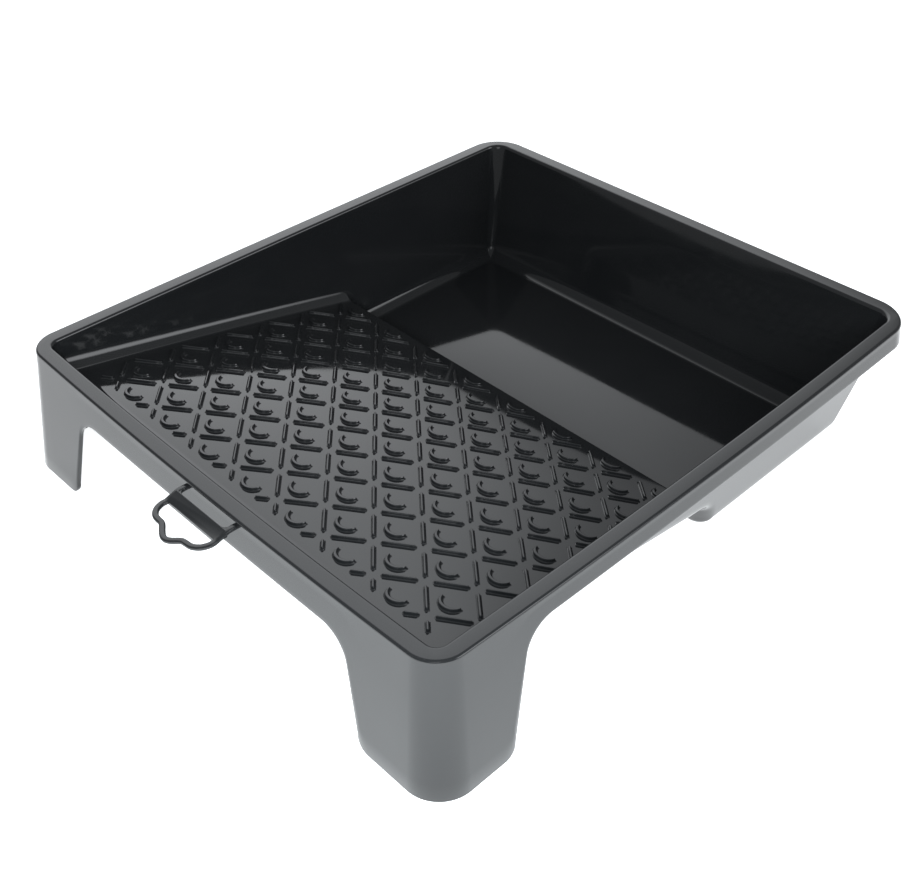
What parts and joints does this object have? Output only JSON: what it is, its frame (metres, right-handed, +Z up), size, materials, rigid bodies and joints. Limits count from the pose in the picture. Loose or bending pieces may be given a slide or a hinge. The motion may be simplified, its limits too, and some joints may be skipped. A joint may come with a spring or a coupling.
{
  "type": "paint roller tray",
  "caption": "Rectangular paint roller tray with a rimmed tub, a sloping ribbed ramp falling to a deep flat well, two corner legs and a hanging loop on the front.",
  "frame": {"origin": "bottom centre of the bounding box, on the surface that the tray stands on", "axes": "+Z up, +Y from the high end with the legs and the loop towards the paint well, +X to the right seen from the front"},
  "size_m": [0.3394, 0.389, 0.076],
  "materials": {
    "tray_plastic": "glossy black, smooth moulded"
  },
  "bodies": {
    "root": {"rim_front": "tray_plastic", "rim_right": "tray_plastic", "rim_back": "tray_plastic", "rim_left": "tray_plastic", "front_apron": "tray_plastic", "right_skirt": "tray_plastic", "back_skirt": "tray_plastic", "left_skirt": "tray_plastic", "front_left_leg": "tray_plastic", "front_right_leg": "tray_plastic", "hanging_loop": "tray_plastic", "front_wall": "tray_plastic", "ramp": "tray_plastic", "ramp_left_wall": "tray_plastic", "ramp_right_wall": "tray_plastic", "well_front_wall": "tray_plastic", "well_left_wall": "tray_plastic", "well_right_wall": "tray_plastic", "back_wall": "tray_plastic", "well_floor": "tray_plastic"}
  },
  "joints": []
}
